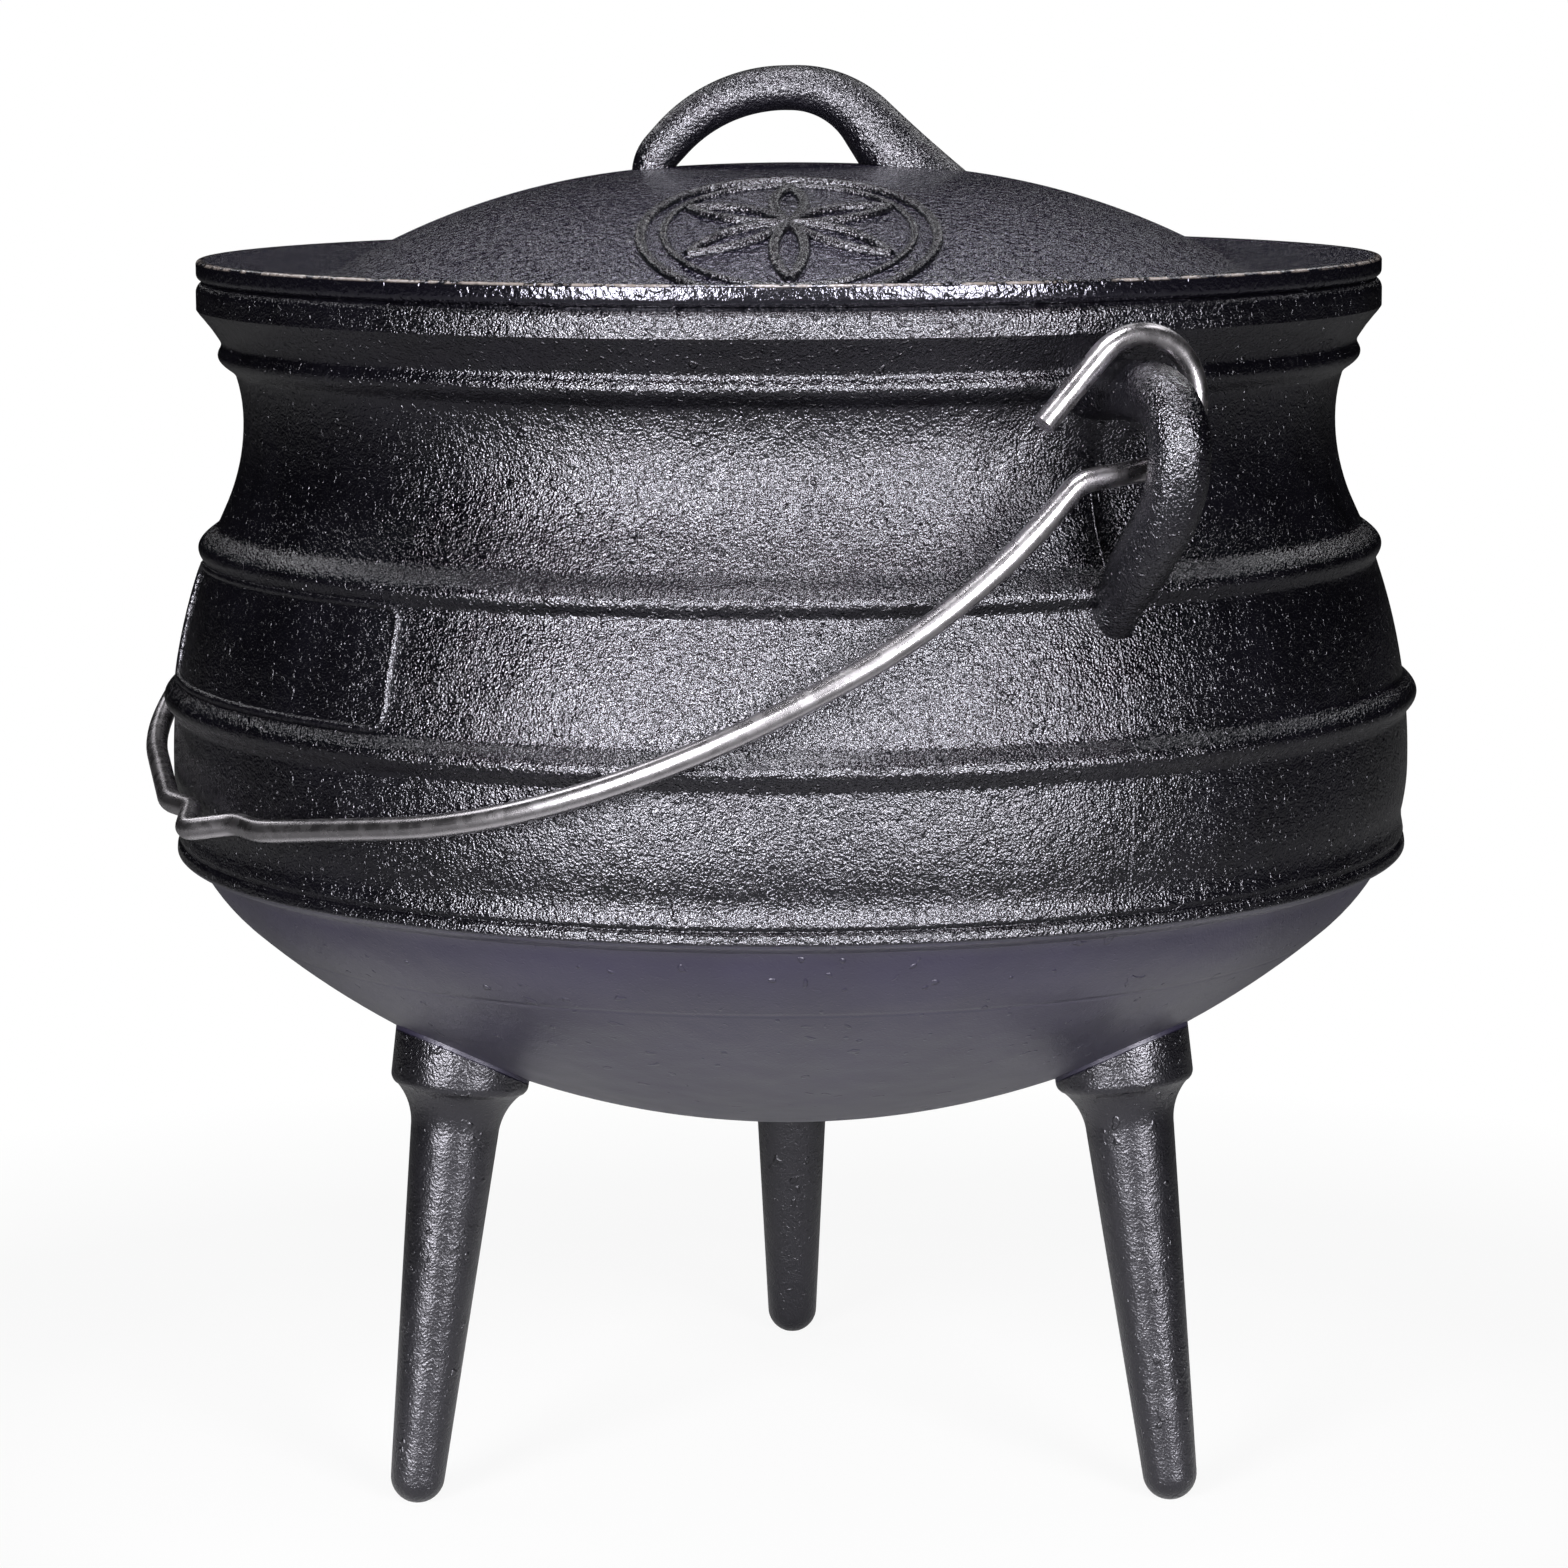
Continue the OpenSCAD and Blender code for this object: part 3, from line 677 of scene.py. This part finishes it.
class POT_OT_casting(bpy.types.Operator):
    """Turns the pot's body and joins its ears and legs to it"""
    bl_idname = "pot.casting"
    bl_label = "Pot casting"

    def execute(self, context):
        s, f = context.scene.pot_sizes, context.scene.pot_finishes
        pot = turned_piece("pot_casting", pot_outline(s), s.ring_steps)
        ear = ear_bar(s, "ear")
        leg = leg_piece(s, "leg")
        others = [ear, copied(ear, "ear_other", math.pi)]
        front_leg, side_legs = -90, (30, 150)       # degrees from the +X ear
        others += [copied(leg, "leg_%d" % k, math.radians(a)) for k, a in enumerate(side_legs)]
        others.append(placed(leg, rotation=(0, 0, math.radians(front_leg))))
        for x in others:
            cut_or_joined(pot, x, "UNION")
        cut_or_joined(pot, turned_piece("hollow", inside_outline(s), s.ring_steps), "DIFFERENCE")
        rest()
        ground = 1.0
        bpy.ops.mesh.primitive_cube_add(size=ground)
        cut_or_joined(pot, placed(named("ground_cut"), (0, 0, -ground / 2)), "DIFFERENCE")
        smooth(pot, 34)
        coat(pot, pot_iron(f))
        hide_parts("pot")
        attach(pot, "pot_body")
        return {"FINISHED"}


class POT_OT_marks(bpy.types.Operator):
    """Lays the raised frame on the belly and the fine parting ridge under each ear"""
    bl_idname = "pot.marks"
    bl_label = "Frame and parting ridges"

    def execute(self, context):
        s, f = context.scene.pot_sizes, context.scene.pot_finishes
        side = Side(s)
        mid, half, corner = -math.pi / 2, s.frame_h / 2, 4.0 * MM
        r = side.soft(s.frame_z)
        w = s.frame_turn * r
        flat = [Vector((x, y, 0)) for x, y in
                ((0, -half), (w, -half), (w, half), (-w, half), (-w, -half), (0, -half))]
        path = rounded_path(flat, [corner] * 4, 1.2 * MM)
        loop = [on_side(side, mid + p.x / r, s.frame_z + p.y, 0.15 * MM) for p in path[:-1]]
        frame_bead = bar_piece("belly_frame", loop, 1.0 * MM, 12, True)
        ridges, ridge_foot, ridge_step = [], 145, 1.2      # height and step in mm
        for k, turned in enumerate((0, math.pi)):
            line = [on_side(side, turned, (ridge_foot + ridge_step * i) * MM, 0.28 * MM) for i in range(72)]
            ridges.append(bar_piece("parting_%d" % k, line, 0.45 * MM, 8))
        merged(frame_bead, ridges)
        named("pot_raised_lines", frame_bead)
        smooth(frame_bead, 60)
        coat(frame_bead, rough_iron(f))
        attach(frame_bead, "pot_body")
        return {"FINISHED"}


class LidShape:
    """The lid's dome as height against radius."""

    def __init__(self, s, seat):
        self.s = s
        self.top = seat + s.lid_h
        self.crown_cz = self.top - s.crown_r
        self.crown_angle = math.degrees(math.acos(s.crown_edge / s.crown_r))
        k = s.crown_r - s.dome_r
        self.cx = k * math.cos(math.radians(self.crown_angle))
        self.cz = self.crown_cz + k * math.sin(math.radians(self.crown_angle))
        self.gz = seat + s.gutter_z + s.gutter_r
        self.gx = self.cx + math.sqrt((s.dome_r + s.gutter_r) ** 2 - (self.gz - self.cz) ** 2)
        self.end = math.degrees(math.atan2(self.gz - self.cz, self.gx - self.cx))

    def height(self, r):
        if r < self.s.crown_edge:
            return self.crown_cz + math.sqrt(self.s.crown_r ** 2 - r * r)
        return self.cz + math.sqrt(self.s.dome_r ** 2 - (r - self.cx) ** 2)


def lid_outline(s, mouth_inner, seat):
    """Over the dome, the gutter and the rim, round the register and back under the dome."""
    d = LidShape(s, seat)
    rim_top, rim_round, rim_under, chamfer = seat + s.lid_rim_h, 0.9 * MM, 1.6 * MM, 0.8 * MM
    register_r, register_z = mouth_inner - s.lid_play, seat + s.gutter_z - s.lid_wall
    outline = arc(0, d.crown_cz, s.crown_r, 90, d.crown_angle, 8)
    outline += arc(d.cx, d.cz, s.dome_r, d.crown_angle, d.end, 30)[1:]
    outline += arc(d.gx, d.gz, s.gutter_r, 180 + d.end, 279, 8)[1:]
    r0, z0 = outline[-1]
    rise_r, rise_z = s.lid_r - 4 * MM - r0, rim_top - 0.2 * MM - z0
    outline += [(r0 + rise_r * i / 6, z0 + rise_z * i / 6) for i in range(1, 7)]
    outline += arc(s.lid_r - rim_round, rim_top - rim_round, rim_round, 90, 0, 6)
    outline += arc(s.lid_r - rim_under, seat + rim_under, rim_under, 0, -90, 6)
    outline += [(register_r + chamfer, seat), (register_r, seat - chamfer),
                (register_r, register_z + chamfer), (register_r - chamfer, register_z)]
    inner = s.dome_r - s.lid_wall
    low = math.degrees(math.asin((register_z - d.cz) / inner))
    outline += arc(d.cx, d.cz, inner, low, d.crown_angle, 26)
    outline += arc(0, d.crown_cz, s.crown_r - s.lid_wall, d.crown_angle, 90, 6)[1:]
    return outline


def loop_path(s, d):
    """The loop: up from a straight foot, over the top and down to the flared foot."""
    top = d.top + s.grip_h - s.grip_d / 2
    knee, foot, deep = d.height(s.grip_left) + 1.7 * MM, d.height(s.grip_right), 9 * MM
    left_slope, right_slope = math.radians(47.5), math.radians(50.6)
    left_top = -s.grip_left + (top - knee) / math.tan(left_slope)
    right_top = s.grip_right - (top - foot) / math.tan(right_slope)
    right_low = s.grip_right + deep / math.tan(right_slope)
    left_take = min(0.6 * (right_top - left_top), 0.7 * (top - knee) / math.sin(left_slope))
    right_take = 0.38 * (right_top - left_top)
    corners = [(-s.grip_left, 0, d.height(s.grip_left) - deep), (-s.grip_left, 0, knee),
               (left_top, 0, top), (right_top, 0, top), (right_low, 0, foot - deep)]
    radii = [8 * MM, left_take / math.tan(left_slope / 2), right_take / math.tan(right_slope / 2)]
    return rounded_path([Vector(c) for c in corners], radii, 0.8 * MM)


def loop_radii(s, path):
    """The bar's radius along the loop: a little slimmer on the left, and flared towards the right foot."""
    total = sum((b - a).length for a, b in zip(path, path[1:]))
    slim_most, slim_end, flare_start, flare_run = 0.35 * MM, 0.45, 0.50, 0.36
    radii, run = [], 0.0
    for i, q in enumerate(path):
        run += (q - path[i - 1]).length if i else 0
        k = run / total
        slim = slim_most * max(0, 1 - k / slim_end)
        flare = (s.flare_d - s.grip_d) / 2 * max(0, (k - flare_start) / flare_run) ** 1.6
        radii.append(s.grip_d / 2 - slim + flare)
    return radii


class POT_OT_lid(bpy.types.Operator):
    """Turns the lid and joins its loop, with one straight and one flared foot"""
    bl_idname = "pot.lid"
    bl_label = "Lid casting"

    def execute(self, context):
        s, p, f = context.scene.lid_sizes, context.scene.pot_sizes, context.scene.pot_finishes
        d = LidShape(s, p.rim_z)
        lid = turned_piece("lid_casting", lid_outline(s, p.mouth_r - p.lip_w, p.rim_z), p.ring_steps)
        path = loop_path(s, d)
        grip = bar_piece("lid_loop", path, loop_radii(s, path), 32)
        edit(grip)
        foot_cut = (0, 0, d.top - 3.6 * MM)
        bpy.ops.mesh.bisect(plane_co=foot_cut, plane_no=(0, 0, 1), use_fill=True, clear_inner=True)
        placed(grip, rotation=(0, 0, s.lid_turn))
        smooth(lid, 34)
        coat(lid, lid_iron(f))
        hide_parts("lid")
        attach(lid, "pot_body")
        smooth(grip, 60)
        coat(grip, rough_iron(f))
        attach(grip, "pot_body")
        return {"FINISHED"}


class POT_OT_rosette(bpy.types.Operator):
    """Lays a raised ring with a six-petalled compass rosette on the lid's slope"""
    bl_idname = "pot.rosette"
    bl_label = "Lid rosette"

    def execute(self, context):
        s, p, f = context.scene.lid_sizes, context.scene.pot_sizes, context.scene.pot_finishes
        d = LidShape(s, p.rim_z)
        ring, steps = s.rosette_r, 96
        reach = 20 * MM
        fall = d.height(s.rosette_out - reach) - d.height(s.rosette_out + reach)
        lean = math.cos(math.atan2(fall, 2 * reach))
        facing = s.lid_turn - math.pi / 2

        def on_dome(u, v):
            """A point of the flat drawing, u outwards and v along the rim, on the dome."""
            x, y = s.rosette_out + u * lean, v
            r = math.hypot(x, y)
            q = Vector((x, y, 0))
            q.rotate(Matrix.Rotation(facing, 3, "Z").to_euler())
            q.z = d.height(min(r, d.gx - 2 * MM)) + 0.1 * MM
            return q

        def circle(r):
            turns = [2 * math.pi * i / steps for i in range(steps)]
            return [on_dome(r * math.cos(a), r * math.sin(a)) for a in turns]

        petal, petal_bead = ring - 7 * MM, s.bead_r * 1.05
        lines = [bar_piece("rosette_ring", circle(ring), s.bead_r, 10, True),
                 bar_piece("rosette_inner", circle(petal + 2.2 * MM), s.bead_r * 0.7, 10, True)]
        for k in range(6):
            a = math.radians(60 * k)
            cx, cy = petal * math.cos(a), petal * math.sin(a)
            bend = [math.radians(60 * k + 120 + 120 * i / 30) for i in range(31)]
            line = [on_dome(cx + petal * math.cos(b), cy + petal * math.sin(b)) for b in bend]
            lines.append(bar_piece("petal_%d" % k, line, petal_bead, 10))
        merged(lines[0], lines[1:])
        rosette = named("lid_rosette", lines[0])
        smooth(rosette, 60)
        coat(rosette, rough_iron(f))
        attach(rosette, "pot_body")
        return {"FINISHED"}


class POT_OT_bail(bpy.types.Operator):
    """Bends the bail from one length of wire, with a hook at each end and a notch in the middle"""
    bl_idname = "pot.bail"
    bl_label = "Wire bail"

    def execute(self, context):
        s, p, f = context.scene.bail_sizes, context.scene.pot_sizes, context.scene.pot_finishes
        hinge_z = p.rim_z - p.ear_drop - s.hinge_drop
        hook_x = p.mouth_r + p.ear_out - s.hook_in
        hook_r = p.ear_d / 2 + s.hinge_drop + s.hook_play + s.wire_d / 2
        tail, bend_at, side_at = math.radians(188.7), math.radians(226.4), math.radians(224.7)

        def at_hinge(r, a):
            """A point at that distance and turn round the hinge, in the hook's plane."""
            return Vector((hook_x, r * math.cos(a), hinge_z + r * math.sin(a)))

        leave = tail - math.acos(hook_r / s.tail_reach)
        meet = bend_at - 2 * math.pi + math.acos(hook_r / s.bend_reach)
        n = 3
        step = (leave - meet) / n
        half = [at_hinge(s.tail_reach, tail)]
        half += [at_hinge(hook_r / math.cos(step / 2), leave - (i + 0.5) * step) for i in range(n)]
        half.append(at_hinge(s.bend_reach, bend_at))
        rest_r = p.belly_r + s.wire_d / 2 + s.rest_gap
        c, low = p.belly_r + s.corner_out, hinge_z - s.bail_drop
        corner = (c * math.cos(s.corner_turn), -c * math.sin(s.corner_turn))
        run = math.pi / 2 - s.corner_turn - math.acos(rest_r / c)
        fall = (s.bail_drop - s.corner_drop) / (corner[1] + rest_r)
        half += [at_hinge(s.side_reach, side_at), Vector((*corner, hinge_z - s.corner_drop)),
                 Vector((rest_r * math.tan(run / 2), -rest_r, low)), Vector((s.notch_w, -rest_r, low))]
        tip = Vector((0, -rest_r - s.notch_depth, low - s.notch_depth * fall))
        side_bend, front_bend, notch_bend, tip_bend = 135 * MM, 20 * MM, 9 * MM, 5 * MM
        radii = [hook_r] * n + [s.bend_r, side_bend, s.corner_r, front_bend, notch_bend]
        other_half = [Vector((-q.x, q.y, q.z)) for q in reversed(half)]
        path = rounded_path(half + [tip] + other_half, radii + [tip_bend] + radii[::-1], 0.9 * MM)
        bail = bar_piece("bail_wire", path, s.wire_d / 2, 24)
        smooth(bail, 50)
        coat(bail, wire_steel(f))
        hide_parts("bail")
        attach(bail, "bail_body")
        return {"FINISHED"}


# ---- Stage ----

VIEW_AZIMUTH, VIEW_ELEVATION, VIEW_ROLL = 60.0, 8.694, -0.242       # degrees
CAMERA_PLACE = (-1.52 * MM, -1106.1 * MM, 322.2 * MM)               # before its turn to the azimuth
FRAME_PIXELS, FOCAL_PIXELS, SENSOR_MM = 1568, 4929, 36
NEAREST, FARTHEST, FLOOR_SIZE = 0.05, 60, 30                        # metres
LAMP_AIM = (0, 0, 0.12)
WORLD_ON_POT = 0.002
# Name, turn from the view, elevation, distance, width, height and brightness of each lamp.
LAMPS = (
    ("left_box", -29, 12, 1.5, 0.46, 1.0, 39.0),
    ("right_box", 29, 12, 1.5, 0.50, 1.0, 32.0),
    ("front_box", 0, 24, 1.9, 0.35, 1.7, 1.6),
    ("high_box", 0, 80, 1.5, 0.7, 0.5, 22.0),
    ("back_box", 180, 50, 1.6, 0.5, 0.4, 2.2),
    ("back_left_box", -148, 36, 1.6, 0.4, 0.4, 3.5),
    ("back_right_box", 150, 36, 1.6, 0.4, 0.4, 3.5),
    ("left_high_box", -112, 50, 1.5, 0.5, 0.35, 5.0),
    ("right_high_box", 112, 50, 1.5, 0.5, 0.35, 4.0),
)


def soft_box(name, turned, elevation, distance, width, height, level):
    """A large lamp of that brightness, turned from the view's azimuth and facing the pot."""
    rest()
    a, e = math.radians(VIEW_AZIMUTH + turned), math.radians(elevation)
    back = Vector((math.sin(a) * math.cos(e), -math.cos(a) * math.cos(e), math.sin(e)))
    bpy.ops.object.light_add(type="AREA", location=Vector(LAMP_AIM) + back * distance)
    lamp = bpy.context.object
    lamp.name = name
    lamp.rotation_euler = back.to_track_quat("Z", "Y").to_euler()
    lamp.data.shape, lamp.data.size, lamp.data.size_y = "RECTANGLE", width, height
    lamp.data.energy = level * math.pi * width * height
    lamp.visible_camera = False


def stage_floor(f):
    """Pale round the feet as painted light in the pot's own shade, and darker outside as painted shade, but
    nearly white to the camera, and all white far off.
    """
    n = Nodes("floor_painted_light_and_shade")
    n.fixed("Roughness", 0.9)
    n.fixed("Specular IOR Level", 0.1)
    far = n.off((0, 0, 0))
    # Painted light under and round the pot and painted shade further out, seen in the pot's reflections;
    # the camera sees the floor nearly white.
    n.feed("Base Color", n.spread(far, 0.10, 0.26, f.floor, 0.09, "LINEAR"))
    camera_ray = n.add("ShaderNodeLightPath").outputs["Is Camera Ray"]
    seen = n.math("MULTIPLY", camera_ray, n.spread(far, 0.20, 0.40, 0.90, 1.0, "LINEAR"))
    white, both = n.add("ShaderNodeEmission"), n.add("ShaderNodeMixShader")
    for k, v in enumerate((seen, n.shader.outputs[0], white.outputs[0])):
        n.link(v, both.inputs[k])
    n.link(both.outputs[0], n.tree.nodes["Material Output"].inputs["Surface"])
    return n.mat


def world_light():
    """White to the camera and almost no light on the pot."""
    world = bpy.data.worlds.new("studio")
    bpy.context.scene.world = world
    world.use_nodes = True
    t = world.node_tree
    sky = t.nodes["Background"]
    path = t.nodes.new("ShaderNodeLightPath")
    level = t.nodes.new("ShaderNodeMapRange")
    level.inputs["To Min"].default_value = WORLD_ON_POT
    level.inputs["To Max"].default_value = 1.0
    t.links.new(path.outputs["Is Camera Ray"], level.inputs["Value"])
    sky.inputs["Color"].default_value = (1, 1, 1, 1)
    t.links.new(level.outputs["Result"], sky.inputs["Strength"])


class POT_OT_stage(bpy.types.Operator):
    """Sets the floor, the soft lamps, the white surround and the camera"""
    bl_idname = "pot.stage"
    bl_label = "Stage"

    def execute(self, context):
        f = context.scene.pot_finishes
        rest()
        bpy.ops.mesh.primitive_plane_add(size=FLOOR_SIZE)
        floor = named("studio_floor")
        floor.data.materials.append(stage_floor(f))
        for lamp in LAMPS:
            soft_box(*lamp)
        world_light()
        bpy.ops.object.camera_add()
        cam = bpy.context.object
        cam.data.sensor_width = SENSOR_MM
        cam.data.sensor_fit = "HORIZONTAL"
        cam.data.lens = FOCAL_PIXELS / FRAME_PIXELS * SENSOR_MM
        turn_z = Matrix.Rotation(math.radians(VIEW_AZIMUTH), 4, "Z")
        tilt = Matrix.Rotation(math.radians(90 - VIEW_ELEVATION), 4, "X")
        roll = Matrix.Rotation(math.radians(VIEW_ROLL), 4, "Z")
        cam.matrix_world = Matrix.Translation(turn_z @ Vector(CAMERA_PLACE)) @ turn_z @ tilt @ roll
        cam.data.clip_start, cam.data.clip_end = NEAREST, FARTHEST
        context.scene.camera = cam
        context.scene.view_settings.view_transform = "Standard"
        return {"FINISHED"}


class POT_PT_panel(bpy.types.Panel):
    bl_label = "Cast iron pot"
    bl_idname = "POT_PT_panel"
    bl_space_type = "VIEW_3D"
    bl_region_type = "UI"
    bl_category = "Iron Pot"

    def draw(self, context):
        for op in OPERATORS:
            self.layout.operator(op.bl_idname)
        for group in (context.scene.pot_sizes, context.scene.lid_sizes, context.scene.bail_sizes,
                      context.scene.pot_finishes):
            box = self.layout.box()
            for name in group.__annotations__:
                box.prop(group, name)


GROUPS = {"pot_sizes": PotSizes, "lid_sizes": LidSizes, "bail_sizes": BailSizes, "pot_finishes": Finishes}
OPERATORS = (POT_OT_casting, POT_OT_marks, POT_OT_lid, POT_OT_rosette, POT_OT_bail, POT_OT_stage)


def register():
    for c in (*GROUPS.values(), *OPERATORS, POT_PT_panel):
        bpy.utils.register_class(c)
    for name, c in GROUPS.items():
        setattr(bpy.types.Scene, name, PointerProperty(type=c))


def unregister():
    for name in GROUPS:
        delattr(bpy.types.Scene, name)
    for c in reversed((*GROUPS.values(), *OPERATORS, POT_PT_panel)):
        bpy.utils.unregister_class(c)


def main():
    register()
    bpy.ops.pot.casting()
    bpy.ops.pot.marks()
    bpy.ops.pot.lid()
    bpy.ops.pot.rosette()
    bpy.ops.pot.bail()
    bpy.ops.pot.stage()
    rest()


if __name__ == "__main__":
    main()
